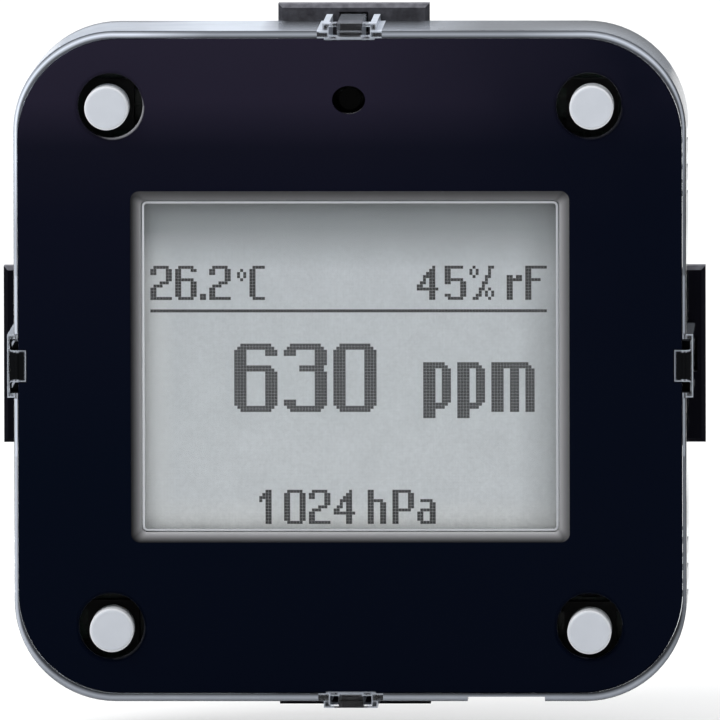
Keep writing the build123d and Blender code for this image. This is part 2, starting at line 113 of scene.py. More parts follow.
def remap(tree, value, low, high, start=0.3, end=0.7):
    """Maps a value from start..end to low..high, held at the ends; the default start and end suit a noise."""
    node = tree.nodes.new("ShaderNodeMapRange")
    node.inputs["From Min"].default_value = start
    node.inputs["From Max"].default_value = end
    node.inputs["To Min"].default_value = low
    node.inputs["To Max"].default_value = high
    tree.links.new(value, node.inputs["Value"])
    return node.outputs["Result"]


def blend_colours(tree, factor, first, second):
    """Mixes two colours or colour sockets by a factor socket."""
    node = tree.nodes.new("ShaderNodeMix")
    node.data_type = "RGBA"
    tree.links.new(factor, node.inputs["Factor"])
    for socket, colour in ((node.inputs[6], first), (node.inputs[7], second)):
        if isinstance(colour, bpy.types.NodeSocket):
            tree.links.new(colour, socket)
        else:
            socket.default_value = (*colour, 1.0)
    return node.outputs[2]


def add_bump(tree, shader, height, distance):
    """Bump from a height socket into the shader's normal."""
    node = tree.nodes.new("ShaderNodeBump")
    node.inputs["Distance"].default_value = distance
    node.inputs["Strength"].default_value = 1.0
    tree.links.new(height, node.inputs["Height"])
    tree.links.new(node.outputs["Normal"], shader.inputs["Normal"])


def finish(name, colour, roughness=0.5, spread=0.12, patch=6 * MM, grain=0.25 * MM, relief=0.01 * MM,
           rough_spread=0.08, stretch=(1.0, 1.0, 1.0), **sockets):
    """Everyday procedural finish: colour patches, uneven gloss, and a fine surface grain."""
    made, shader = new_material(name)
    tree = made.node_tree
    dark = tuple(c * (1 - spread) for c in colour)
    light = tuple(min(1.0, c * (1 + spread)) for c in colour)
    patches = noise(tree, patch, detail=5.0, stretch=stretch)
    tree.links.new(blend_colours(tree, patches, dark, light), shader.inputs["Base Color"])
    gloss = remap(tree, noise(tree, patch * 0.6, stretch=stretch), roughness - rough_spread,
                  roughness + rough_spread)
    tree.links.new(gloss, shader.inputs["Roughness"])
    if relief > 0:
        add_bump(tree, shader, noise(tree, grain, detail=2.0, stretch=stretch), relief)
    for socket, value in sockets.items():
        shader.inputs[socket.replace("_", " ")].default_value = value
    return made


# ---------------------------------------------------------------- camera
FACE_Y = cad_box[0][1] + 2.0 * MM            # face of the black panel, behind the button caps
AIM = Vector((1.21 * MM, FACE_Y, 0.74 * MM))
ELEVATION = math.radians(4.0)
AZIMUTH = math.radians(1.5)
ROLL = math.radians(-0.13)
DISTANCE = 3.0
VIEW_WIDTH = 86.68 * MM                      # width seen in the plane of the panel
SENSOR = 36.0

camera_data = bpy.data.cameras.new("camera")
camera = bpy.data.objects.new("camera", camera_data)
bpy.context.scene.collection.objects.link(camera)
bpy.context.scene.camera = camera
camera_data.sensor_width = SENSOR
camera_data.lens = SENSOR * DISTANCE / VIEW_WIDTH
camera_data.clip_start = 0.01
camera_data.clip_end = 20.0
towards = Vector((math.sin(AZIMUTH) * math.cos(ELEVATION), -math.cos(AZIMUTH) * math.cos(ELEVATION),
                  math.sin(ELEVATION)))
camera.location = AIM + towards * DISTANCE
level = towards.to_track_quat("Z", "Y")
camera.rotation_euler = (level @ Quaternion((0.0, 0.0, 1.0), ROLL)).to_euler()


# ---------------------------------------------------------------- floor, light and surroundings
def add_object(name, mesh):
    """Links a mesh to the scene as an object."""
    made = bpy.data.objects.new(name, mesh)
    bpy.context.scene.collection.objects.link(made)
    return made


FLOOR_Z = cad_box[0][2] - 3.0 * MM
FLOOR_HALF = 6.0
floor_mesh = bpy.data.meshes.new("floor")
floor_mesh.from_pydata([(-FLOOR_HALF, -FLOOR_HALF, FLOOR_Z), (FLOOR_HALF, -FLOOR_HALF, FLOOR_Z),
                        (FLOOR_HALF, FLOOR_HALF, FLOOR_Z), (-FLOOR_HALF, FLOOR_HALF, FLOOR_Z)], [],
                       [(0, 1, 2, 3)])
floor = add_object("floor", floor_mesh)
floor_mesh.materials.append(finish("floor_paper", (0.93, 0.93, 0.93), roughness=0.9, spread=0.01,
                                   patch=0.3, relief=0))

world = bpy.data.worlds.new("studio")
bpy.context.scene.world = world
world.use_nodes = True
sky = world.node_tree
direction = sky.nodes.new("ShaderNodeTexCoord")
height = sky.nodes.new("ShaderNodeSeparateXYZ")
sky.links.new(direction.outputs["Generated"], height.inputs[0])
gradient = sky.nodes.new("ShaderNodeValToRGB")
for element, (place, colour) in zip(
        [gradient.color_ramp.elements[0], gradient.color_ramp.elements[1],
         gradient.color_ramp.elements.new(0.35)],
        [(0.0, (0.40, 0.42, 0.45, 1.0)), (1.0, (1.0, 1.0, 1.0, 1.0)), (0.35, (0.86, 0.87, 0.88, 1.0))]):
    element.position = place
    element.color = colour
sky.links.new(height.outputs["Z"], gradient.inputs["Fac"])
sky.links.new(gradient.outputs["Color"], sky.nodes["Background"].inputs["Color"])
sky.nodes["Background"].inputs["Strength"].default_value = 0.9


def softbox(name, place, aim, width, height, power):
    """Rectangular area light at place, pointing at aim."""
    data = bpy.data.lights.new(name, "AREA")
    data.shape = "RECTANGLE"
    data.size = width
    data.size_y = height
    data.energy = power
    light = bpy.data.objects.new(name, data)
    bpy.context.scene.collection.objects.link(light)
    light.location = place
    light.rotation_euler = (Vector(place) - Vector(aim)).to_track_quat("Z", "Y").to_euler()


softbox("key", place=(-0.9, -1.0, 1.1), aim=(0, 0, 0), width=0.9, height=0.9, power=13.0)
softbox("overhead", place=(0.0, 1.6, 2.6), aim=(0.0, 1.0, 0.0), width=3.0, height=2.4, power=34.0)
bpy.context.scene.view_settings.view_transform = "Standard"


# ---------------------------------------------------------------- special materials
def math_node(tree, operation, first, second=None, third=None, clamp=False):
    """One Math node; inputs are sockets or numbers."""
    node = tree.nodes.new("ShaderNodeMath")
    node.operation = operation
    node.use_clamp = clamp
    for socket, value in zip(node.inputs, (first, second, third)):
        if value is None:
            continue
        if isinstance(value, bpy.types.NodeSocket):
            tree.links.new(value, socket)
        else:
            socket.default_value = value
    return node.outputs[0]


def axes(tree, source=None):
    """The x, y and z sockets of a vector, the position by default."""
    node = tree.nodes.new("ShaderNodeSeparateXYZ")
    tree.links.new(source or position(tree), node.inputs[0])
    return node.outputs


def normal_axes(tree):
    """The x, y and z sockets of the surface's normal."""
    return axes(tree, tree.nodes.new("ShaderNodeTexCoord").outputs["Normal"])


def colour_ramp(tree, value, stops):
    """Colour ramp with (place, colour) stops."""
    node = tree.nodes.new("ShaderNodeValToRGB")
    ramp = node.color_ramp
    while len(ramp.elements) < len(stops):
        ramp.elements.new(0.5)
    for element, (place, colour) in zip(ramp.elements, stops):
        element.position = place
        element.color = (*colour, 1.0)
    tree.links.new(value, node.inputs["Fac"])
    return node.outputs["Color"]


def product(tree, *values):
    """Product of several sockets or numbers."""
    result = values[0]
    for value in values[1:]:
        result = math_node(tree, "MULTIPLY", result, value)
    return result


def lerp(tree, factor, first, second):
    """Value between first and second, by a factor from 0 to 1."""
    step = math_node(tree, "SUBTRACT", second, first)
    return math_node(tree, "ADD", product(tree, step, factor), first)


def largest(tree, *values):
    """Largest of several sockets or numbers."""
    result = values[0]
    for value in values[1:]:
        result = math_node(tree, "MAXIMUM", result, value)
    return result


def weighted(tree, base, *terms):
    """A base number plus each (socket, weight) term."""
    result = base
    for value, weight in terms:
        result = math_node(tree, "ADD", product(tree, value, weight), result)
    return result


def gloss_panel(name):
    """Polished black acrylic with painted light by place: a painted violet sheen at the top, a painted fade
    darker to the right, painted light and shade on the window bevels and a painted highlight on the hole
    rims.
    """
    made, shader = new_material(name)
    tree = made.node_tree
    x, y, z = axes(tree)
    # Painted sheen: near black at the bottom, rising to a violet sheen along the top.
    body = colour_ramp(tree, remap(tree, z, 0.0, 1.0, -40 * MM, 40 * MM), [
        (0.0, (0.0006, 0.0014, 0.0045)), (0.35, (0.0006, 0.0016, 0.0048)), (0.72, (0.0022, 0.0026, 0.0070)),
        (0.83, (0.0040, 0.0040, 0.0085)), (0.90, (0.0125, 0.0105, 0.0200)), (1.0, (0.0140, 0.0118, 0.0215))])
    # Painted reflection: the panel fades darker towards the right, in soft patches.
    painted_sheen_fade = remap(tree, x, 0.0, 0.8, 0.0, 34 * MM)
    cloudy = product(tree, painted_sheen_fade, remap(tree, noise(tree, 14 * MM, detail=3.0), 0.8, 1.15))
    body = blend_colours(tree, cloudy, body, (0.0008, 0.0016, 0.0048))
    nx, ny, nz = normal_axes(tree)
    # Painted light and shade on the window bevel: each side gets its own tone, paler towards its inner edge.
    rise = math_node(tree, "POWER", remap(tree, y, 0.0, 1.0, *BEVEL_DEPTHS), 1.4)
    bevel_painted_light = []
    for slope, inner, outer in ((nx, 0.30, 0.012), (product(tree, nx, -1.0), 0.30, 0.085),
                                (nz, 0.42, 0.012), (product(tree, nz, -1.0), 0.15, 0.050)):
        tone = weighted(tree, outer, (rise, inner - outer))
        bevel_painted_light.append(product(tree, math_node(tree, "MULTIPLY", slope, 1.3, clamp=True), tone))
    across, upright = math_node(tree, "ABSOLUTE", x), math_node(tree, "ABSOLUTE", z)
    bevel = product(tree, math_node(tree, "LESS_THAN", across, WINDOW_HALF_X),
                    math_node(tree, "LESS_THAN", upright, WINDOW_HALF_Z),
                    math_node(tree, "GREATER_THAN", ny, -0.97))
    grey = blend_colours(tree, largest(tree, *bevel_painted_light), (0.0, 0.0, 0.0), (1.0, 1.0, 1.03))
    # Painted highlight: an arc on each button hole's rim where it faces up and left, strongest towards the
    # top left.
    rim = math_node(tree, "SUBTRACT", math_node(tree, "SUBTRACT", nz, nx), 0.55, clamp=True)
    corner = math_node(tree, "SUBTRACT", z, x)
    lit = product(tree, math_node(tree, "MULTIPLY", rim, 1.6, clamp=True),
                  remap(tree, corner, 0.06, 1.0, 15 * MM, 48 * MM),
                  math_node(tree, "LESS_THAN", math_node(tree, "MAXIMUM", across, upright), HOLES_ACROSS),
                  math_node(tree, "LESS_THAN", math_node(tree, "ADD", across, upright), HOLES_DIAGONAL))
    body = blend_colours(tree, lit, body, (0.42, 0.42, 0.44))
    tree.links.new(blend_colours(tree, bevel, body, grey), shader.inputs["Base Color"])
    smudge = remap(tree, noise(tree, 9 * MM, detail=4.0), 0.05, 0.11)
    tree.links.new(smudge, shader.inputs["Roughness"])
    add_bump(tree, shader, noise(tree, 12 * MM, detail=1.0), 0.012 * MM)
    shader.inputs["Specular IOR Level"].default_value = 0.035
    shader.inputs["Specular Tint"].default_value = (0.45, 0.55, 1.0, 1.0)
    return made


def edge_mask(tree, radius):
    """1 near a body's edges and corners, 0 on its open faces."""
    rounded = tree.nodes.new("ShaderNodeBevel")
    rounded.samples = 6
    rounded.inputs["Radius"].default_value = radius
    flat = tree.nodes.new("ShaderNodeNewGeometry").outputs["Normal"]
    likeness = tree.nodes.new("ShaderNodeVectorMath")
    likeness.operation = "DOT_PRODUCT"
    tree.links.new(rounded.outputs["Normal"], likeness.inputs[0])
    tree.links.new(flat, likeness.inputs[1])
    bend = math_node(tree, "SUBTRACT", 1.0, likeness.outputs["Value"])
    return remap(tree, bend, 0.0, 1.0, 0.01, 0.10)


def outline_inset(tree, x, z):
    """How far inside the housing's rounded square outline a point lies."""
    straight = HOUSING_HALF - HOUSING_CORNER
    over_x = math_node(tree, "SUBTRACT", math_node(tree, "ABSOLUTE", x), straight)
    over_z = math_node(tree, "SUBTRACT", math_node(tree, "ABSOLUTE", z), straight)
    round_x = math_node(tree, "MAXIMUM", over_x, 0.0)
    round_z = math_node(tree, "MAXIMUM", over_z, 0.0)
    reach = math_node(tree, "SQRT", math_node(tree, "ADD", product(tree, round_x, round_x),
                                              product(tree, round_z, round_z)))
    inner = math_node(tree, "MINIMUM", math_node(tree, "MAXIMUM", over_x, over_z), 0.0)
    return math_node(tree, "SUBTRACT", HOUSING_CORNER, math_node(tree, "ADD", reach, inner))


def housing_plastic(name):
    """Clear moulded plastic with painted light and shade by place: a painted highlight line in the rim,
    partly opaque walls with painted light and shade, painted highlights on the clip edges and a painted
    shadow in the side clips.
    """
    made, shader = new_material(name)
    tree = made.node_tree
    x, y, z = axes(tree)
    nx, ny, nz = normal_axes(tree)
    across = math_node(tree, "ABSOLUTE", x)
    upright = math_node(tree, "ABSOLUTE", z)
    rising = math_node(tree, "SUBTRACT", z, x)
    falling = math_node(tree, "ADD", z, x)
    top_left = remap(tree, rising, 0.0, 1.0, *TOP_LEFT_ZONE)
    top_right = remap(tree, falling, 0.0, 1.0, *TOP_RIGHT_ZONE)
    right = remap(tree, math_node(tree, "SUBTRACT", x, upright), 0.0, 1.0, *RIGHT_ZONE)
    left = remap(tree, math_node(tree, "ADD", x, upright), 1.0, 0.0, *LEFT_ZONE)
    low = remap(tree, z, 1.0, 0.0, *LOW_ZONE)

    # The rim: painted shade at its outer edge, a painted highlight line, then painted shade again inside.
    inset = outline_inset(tree, x, z)
    behind = product(tree, math_node(tree, "GREATER_THAN", across, upright),
                     math_node(tree, "LESS_THAN", upright, TAB_ZONE))
    # Each side of the rim gets its own painted brightness.
    edge = weighted(tree, 0.10, (low, 0.12), (left, 0.35), (right, -0.05))
    painted_crest_light = weighted(tree, 0.32, (top_left, 0.42), (top_right, 0.24), (left, 0.12), (right, -0.19),
                    (behind, 0.18))
    level = remap(tree, math_node(tree, "SUBTRACT", upright, across), 0.0, 1.0, *LEVEL_ZONE)
    ratio = math_node(tree, "DIVIDE", inset, lerp(tree, level, CREST_UPRIGHT, CREST_LEVEL))
    tone = lerp(tree, remap(tree, ratio, 0.0, 1.0, 0.35, 1.0), edge, painted_crest_light)
    tone = product(tree, tone, remap(tree, ratio, 1.0, 0.12, 1.1, 1.85))
    off_clips = math_node(tree, "GREATER_THAN", math_node(tree, "MINIMUM", across, upright), CLIP_ZONE)
    rim = product(tree, remap(tree, y, 1.0, 0.0, *RIM_DEPTHS), math_node(tree, "LESS_THAN", ny, -0.6),
                  off_clips)

    # The walls: how opaque they are made to carry painted light and shade, and how light, from the front
    # (back = 0) to the wall plate (back = 1).
    back = remap(tree, y, 0.0, 1.0, *WALL_DEPTHS)
    rear_line = remap(tree, back, 0.0, 1.0, 0.80, 0.95)
    upward = remap(tree, nz, 0.0, 1.0, *FACING)
    sideways = remap(tree, nx, 0.0, 1.0, *FACING)
    beside = product(tree, sideways, remap(tree, upright, 0.0, 1.0, TAB_ZONE, TAB_ZONE + 6 * MM))
    near_clip = product(tree, upward, remap(tree, across, 1.0, 0.0, 8 * MM, 11 * MM))
    knuckle = product(tree, near_clip, math_node(tree, "COMPARE", across, 3.1 * MM, 0.8 * MM))
    tongue = product(tree, near_clip, math_node(tree, "LESS_THAN", across, 1.6 * MM))
    wall = largest(tree, product(tree, upward, 0.42), product(tree, beside, 0.35),
                   product(tree, top_left, 0.38), product(tree, knuckle, 0.9))
    wall_painted_light = lerp(tree, remap(tree, x, 0.0, 1.0, -8 * MM, 16 * MM), 1.0, 0.22)
    for zone, light in ((top_right, lerp(tree, back, 0.36, 0.07)),
                        (product(tree, right, sideways), lerp(tree, back, 0.05, 0.40)),
                        (near_clip, lerp(tree, back, 0.52, 0.03)), (knuckle, 0.60), (tongue, 0.20),
                        (top_left, lerp(tree, rear_line, 0.75, 0.30))):
        wall_painted_light = lerp(tree, zone, wall_painted_light, light)
    streaks = remap(tree, noise(tree, 6 * MM, detail=2.0), 0.94, 1.06)

    # The clips: painted highlights on their outlines and ends, and a painted shadow deep in the side ones.
    outline = largest(tree, math_node(tree, "COMPARE", upright, 1.8 * MM, 0.2 * MM),
                      math_node(tree, "LESS_THAN", across, 39.35 * MM),
                      math_node(tree, "GREATER_THAN", across, 41.0 * MM),
                      math_node(tree, "COMPARE", upright, 3.55 * MM, 0.3 * MM))
    outline = product(tree, outline, math_node(tree, "LESS_THAN", upright, CLIP_ZONE))
    ends = largest(tree, math_node(tree, "COMPARE", across, 3.0 * MM, 1.0 * MM),
                   math_node(tree, "LESS_THAN", upright, 39.9 * MM))
    ends = product(tree, ends, math_node(tree, "LESS_THAN", across, CLIP_ZONE))
    edges = product(tree, edge_mask(tree, 0.4 * MM), remap(tree, y, 1.0, 0.0, *FRONT_DEPTHS),
                    largest(tree, outline, ends))
    shadow = product(tree, math_node(tree, "LESS_THAN", upright, 3.3 * MM),
                     math_node(tree, "COMPARE", across, 39.95 * MM, 1.05 * MM),
                     remap(tree, y, 1.0, 0.0, *SHADOW_DEPTHS))
    # Painted zones lose their clearness and take the painted light and shade as their colour.
    cloud = largest(tree, product(tree, rim, 0.97), wall, product(tree, edges, 0.93), shadow)
    painted_light_and_shade = lerp(tree, rim, product(tree, wall_painted_light, streaks), tone)
    painted_light_and_shade = lerp(tree, edges, lerp(tree, shadow, painted_light_and_shade, 0.005), 0.46)
    painted_light_and_shade = blend_colours(tree, painted_light_and_shade, (0.0, 0.0, 0.0), (0.93, 1.0, 1.13))
    clear = blend_colours(tree, noise(tree, 8 * MM), (0.88, 0.91, 0.93), (0.95, 0.97, 0.98))
    tinted = math_node(tree, "MULTIPLY", cloud, 3.0, clamp=True)
    tree.links.new(blend_colours(tree, tinted, clear, painted_light_and_shade), shader.inputs["Base Color"])
    tree.links.new(math_node(tree, "SUBTRACT", 1.0, cloud), shader.inputs["Transmission Weight"])
    tree.links.new(remap(tree, noise(tree, 3 * MM, detail=4.0), 0.02, 0.10), shader.inputs["Roughness"])
    add_bump(tree, shader, noise(tree, 6 * MM, detail=2.0), 0.02 * MM)
    shader.inputs["IOR"].default_value = 1.5
    shader.inputs["Specular IOR Level"].default_value = 0.0
    shader.inputs["Specular Tint"].default_value = (0.5, 0.5, 0.52, 1.0)
    return made


def lens_plastic(name):
    """Clear polished window whose chamfer carries a painted highlight: pale and less clear where it turns
    from the front.
    """
    made, shader = new_material(name)
    tree = made.node_tree
    facing = math_node(tree, "ABSOLUTE", normal_axes(tree)["Y"])
    # Painted highlight: the chamfer, turned from the front, is pale and less clear.
    chamfer_highlight = remap(tree, facing, 1.0, 0.0, 0.90, 0.98)
    tint = blend_colours(tree, noise(tree, 10 * MM), (0.97, 0.975, 0.975), (0.99, 0.995, 0.995))
    tree.links.new(blend_colours(tree, chamfer_highlight, tint, (0.74, 0.76, 0.80)), shader.inputs["Base Color"])
    tree.links.new(math_node(tree, "SUBTRACT", 1.0, math_node(tree, "MULTIPLY", chamfer_highlight, 0.9)),
                   shader.inputs["Transmission Weight"])
    tree.links.new(remap(tree, noise(tree, 5 * MM, detail=4.0), 0.006, 0.02), shader.inputs["Roughness"])
    add_bump(tree, shader, noise(tree, 9 * MM, detail=1.0), 0.003 * MM)
    shader.inputs["IOR"].default_value = 1.49
    shader.inputs["Specular Tint"].default_value = (0.3, 0.3, 0.3, 1.0)
    return made


def between_dots(tree, value):
    """1 on the thin lines between the display's dots along one axis, 0 on the dots."""
    count = math_node(tree, "MULTIPLY", math_node(tree, "ADD", value, 1.0), 1.0 / DOT)
    return math_node(tree, "LESS_THAN", math_node(tree, "FRACT", count), 0.12)


def display_glass(name):
    """Reflective grey display: mottled, faintly gridded, with painted shade at the top and right and painted
    light low and at the left.
    """
    made, shader = new_material(name)
    tree = made.node_tree
    x, _, z = axes(tree)
    # Painted shade: a dark band under the top edge; painted light: paler along the bottom edge.
    shade = colour_ramp(tree, remap(tree, z, 0.0, 1.0, -21 * MM, 21 * MM), [
        (0.0, (0.98, 1.0, 1.0)), (0.05, (0.98, 1.0, 1.0)), (0.12, (0.86, 0.90, 0.93)),
        (0.45, (0.80, 0.845, 0.875)), (0.77, (0.78, 0.82, 0.86)), (0.82, (0.62, 0.66, 0.69)),
        (0.89, (0.38, 0.41, 0.43)), (0.96, (0.24, 0.265, 0.275)), (1.0, (0.20, 0.22, 0.23))])
    speckle = remap(tree, noise(tree, 0.5 * MM, detail=5.0, roughness=0.75), 0.0, 0.20)
    cloud = remap(tree, noise(tree, 4 * MM, detail=4.0), 0.0, 0.10)
    mottled = blend_colours(tree, math_node(tree, "ADD", speckle, cloud), shade, (0.36, 0.38, 0.39))
    # Painted light: a paler left margin, below the top band.
    left_painted_light = product(tree, remap(tree, x, 0.8, 0.0, -25 * MM, -21 * MM),
                          remap(tree, z, 1.0, 0.0, 10 * MM, 16 * MM))
    paler = blend_colours(tree, left_painted_light, mottled, (0.98, 1.0, 1.0))
    # Painted shade: darker towards the right edge.
    sideways = remap(tree, x, 0.0, 0.30, 20 * MM, 23 * MM)
    toned = blend_colours(tree, sideways, paler, (0.20, 0.215, 0.22))
    grid = product(tree, largest(tree, between_dots(tree, x), between_dots(tree, z)), 0.05)
    tree.links.new(blend_colours(tree, grid, toned, (0.15, 0.16, 0.17)), shader.inputs["Base Color"])
    tree.links.new(remap(tree, noise(tree, 0.5 * MM, detail=3.0), 0.38, 0.52), shader.inputs["Roughness"])
    add_bump(tree, shader, noise(tree, 0.2 * MM, detail=2.0), 0.004 * MM)
    shader.inputs["Specular IOR Level"].default_value = 0.3
    return made


def cap_finish(name):
    """Pale grey satin cap, lighter on its rounded edge where it turns from the front, with a fine
    spark-eroded grain.
    """
    made, shader = new_material(name)
    tree = made.node_tree
    facing = product(tree, normal_axes(tree)["Y"], -1.0)
    # Lighter where the surface turns from the front, on the cap's rounded edge.
    edge = remap(tree, facing, 1.0, 0.0, 0.55, 0.97)
    tone = blend_colours(tree, noise(tree, 2.2 * MM, detail=5.0), (0.44, 0.465, 0.51), (0.50, 0.525, 0.57))
    tree.links.new(blend_colours(tree, edge, tone, (0.74, 0.76, 0.79)), shader.inputs["Base Color"])
    tree.links.new(remap(tree, noise(tree, 1.2 * MM, detail=3.0), 0.38, 0.5), shader.inputs["Roughness"])
    add_bump(tree, shader, noise(tree, 0.14 * MM, detail=3.0), 0.006 * MM)
    return made


def textured_plastic(name, colour, grain=0.22 * MM, ledge_highlight=0.0, specular=0.2):
    """Spark-eroded black plastic: pebbled grain, with a mottled painted highlight on ledges that face up and
    along the top edge.
    """
    made, shader = new_material(name)
    tree = made.node_tree
    patches = blend_colours(tree, noise(tree, 5 * MM, detail=5.0), tuple(c * 0.8 for c in colour),
                            tuple(c * 1.25 for c in colour))
    # Painted highlight on the top edge and on ledges that face up, mottled by a noise.
    top = remap(tree, axes(tree)["Z"], 0.0, 0.30, 38.0 * MM, 40.0 * MM)
    ledge = largest(tree, remap(tree, normal_axes(tree)["Z"], 0.0, 1.0, 0.4, 0.8), top)
    painted_ledge_light = product(tree, ledge, remap(tree, noise(tree, 0.9 * MM, detail=5.0), 0.5 * ledge_highlight, ledge_highlight))
    patches = blend_colours(tree, painted_ledge_light, patches, (0.30, 0.30, 0.34))
    tree.links.new(patches, shader.inputs["Base Color"])
    cells = tree.nodes.new("ShaderNodeTexVoronoi")
    cells.inputs["Scale"].default_value = 1.0 / grain
    tree.links.new(position(tree), cells.inputs["Vector"])
    pebbles = math_node(tree, "MULTIPLY", cells.outputs["Distance"], noise(tree, grain * 3, detail=3.0))
    tree.links.new(remap(tree, noise(tree, 2.5 * MM, detail=4.0), 0.52, 0.72), shader.inputs["Roughness"])
    add_bump(tree, shader, pebbles, 0.02 * MM)
    shader.inputs["Specular IOR Level"].default_value = specular
    return made


def circuit_board(name, mask, copper):
    """Solder mask over fine tracks: stepped noise bands read as copper under the mask."""
    made, shader = new_material(name)
    tree = made.node_tree
    cells = tree.nodes.new("ShaderNodeTexVoronoi")
    cells.distance = "CHEBYCHEV"
    cells.inputs["Scale"].default_value = 1.0 / (2.4 * MM)
    tree.links.new(position(tree), cells.inputs["Vector"])
    bands = math_node(tree, "FRACT", math_node(tree, "MULTIPLY", cells.outputs["Distance"], 4.0))
    track = math_node(tree, "LESS_THAN", bands, 0.32)
    cloudy = blend_colours(tree, noise(tree, 7 * MM, detail=4.0), tuple(c * 0.8 for c in mask),
                           tuple(c * 1.2 for c in mask))
    tree.links.new(blend_colours(tree, track, cloudy, copper), shader.inputs["Base Color"])
    tree.links.new(remap(tree, noise(tree, 1.5 * MM), 0.22, 0.36), shader.inputs["Roughness"])
    shader.inputs["Specular IOR Level"].default_value = 0.15
    add_bump(tree, shader, track, 0.03 * MM)
    return made


def metal(name, colour, roughness=0.32, stretch=(1.0, 1.0, 8.0), patch=1.6 * MM):
    """Plated metal with drawn marks along one axis and dull patches."""
    made, shader = new_material(name)
    tree = made.node_tree
    tone = blend_colours(tree, noise(tree, patch, detail=5.0), tuple(c * 0.75 for c in colour), colour)
    tree.links.new(tone, shader.inputs["Base Color"])
    tree.links.new(remap(tree, noise(tree, patch * 0.3, detail=4.0, stretch=stretch), roughness - 0.1,
                         roughness + 0.14), shader.inputs["Roughness"])
    add_bump(tree, shader, noise(tree, 0.12 * MM, detail=2.0, stretch=stretch), 0.004 * MM)
    shader.inputs["Metallic"].default_value = 1.0
    return made


# ---------------------------------------------------------------- display layout
DOT = 0.3735 * MM
ROW_PITCH = 0.3760 * MM
FIRST_COLUMN = -24.14 * MM
FIRST_ROW = 11.90 * MM

materials = {
    "plate_plastic": textured_plastic("plate_plastic", (0.0025, 0.0025, 0.005), ledge_highlight=0.8, specular=0.03),
    "cover_plastic": textured_plastic("cover_plastic", (0.042, 0.043, 0.047), grain=0.3 * MM),
    "panel_gloss": gloss_panel("panel_gloss"),
    "clear_plastic": housing_plastic("clear_plastic"),
    "lens_clear": lens_plastic("lens_clear"),
    "tape_foam": finish("tape_foam", (0.02, 0.02, 0.02), roughness=0.9, grain=0.4 * MM, relief=0.06 * MM),
    "frame_metal": finish("frame_metal", (0.03, 0.03, 0.033), roughness=0.45, relief=0.008 * MM),
    "lcd_face": display_glass("lcd_face"),
    "lcd_back": finish("lcd_back", (0.50, 0.53, 0.52), roughness=0.2, patch=9 * MM, relief=0.002 * MM),
    "guide_white": finish("guide_white", (0.80, 0.81, 0.79), roughness=0.4, spread=0.04,
                          grain=0.6 * MM),
    "led_white": finish("led_white", (0.86, 0.84, 0.62), roughness=0.3, patch=1.5 * MM),
    "flex_film": finish("flex_film", (0.48, 0.25, 0.06), roughness=0.28, patch=3 * MM,
                        stretch=(0.3, 1.0, 3.0), spread=0.3),
    "socket_plastic": finish("socket_plastic", (0.68, 0.65, 0.57), roughness=0.5),
    "board_mask": circuit_board("board_mask", (0.003, 0.010, 0.007), (0.006, 0.020, 0.012)),
    "co2_board_mask": circuit_board("co2_board_mask", (0.02, 0.11, 0.05), (0.05, 0.2, 0.09)),
    "pipe_smoked": finish("pipe_smoked", (0.002, 0.002, 0.002), roughness=0.3, patch=2 * MM,
                          Specular_IOR_Level=0.02),
    "header_plastic": finish("header_plastic", (0.02, 0.02, 0.02), roughness=0.5, patch=1.5 * MM),
    "chamber_metal": metal("chamber_metal", (0.80, 0.64, 0.36), stretch=(6.0, 1.0, 1.0)),
    "filter_membrane": finish("filter_membrane", (0.84, 0.84, 0.80), roughness=0.9, patch=1.5 * MM,
                              grain=0.15 * MM, relief=0.05 * MM, spread=0.05),
    "sensor_resin": finish("sensor_resin", (0.045, 0.045, 0.045), roughness=0.5, patch=1 * MM),
    "can_metal": metal("can_metal", (0.72, 0.72, 0.71)),
    "chip_resin": finish("chip_resin", (0.028, 0.028, 0.030), roughness=0.58, patch=1.2 * MM,
                         grain=0.1 * MM),
    "ferrite": finish("ferrite", (0.07, 0.07, 0.072), roughness=0.7, patch=1 * MM, relief=0.02 * MM),
    "capacitor_can": metal("capacitor_can", (0.78, 0.78, 0.80), stretch=(1.0, 8.0, 1.0)),
    "chip_ceramic": finish("chip_ceramic", (0.45, 0.35, 0.24), roughness=0.45, patch=0.6 * MM),
    "terminal_plastic": finish("terminal_plastic", (0.03, 0.24, 0.09), roughness=0.42, patch=4 * MM),
    "screw_zinc": metal("screw_zinc", (0.72, 0.72, 0.69), stretch=(1.0, 4.0, 1.0), patch=0.9 * MM),
    "screw_steel": metal("screw_steel", (0.16, 0.16, 0.17), roughness=0.4, patch=0.9 * MM),
    "switch_plastic": finish("switch_plastic", (0.006, 0.006, 0.006), roughness=0.5, patch=2 * MM,
                             Specular_IOR_Level=0.1),
    "stem_plastic": finish("stem_plastic", (0.02, 0.02, 0.02), roughness=0.4, patch=1 * MM,
                           Specular_IOR_Level=0.1),
    "cap_plastic": cap_finish("cap_plastic"),
}

for row in frame["record"]["subparts"]:
    mesh = NODES[row["node"]].data
    mesh.materials.clear()
    mesh.materials.append(materials[row["material_slot"]])


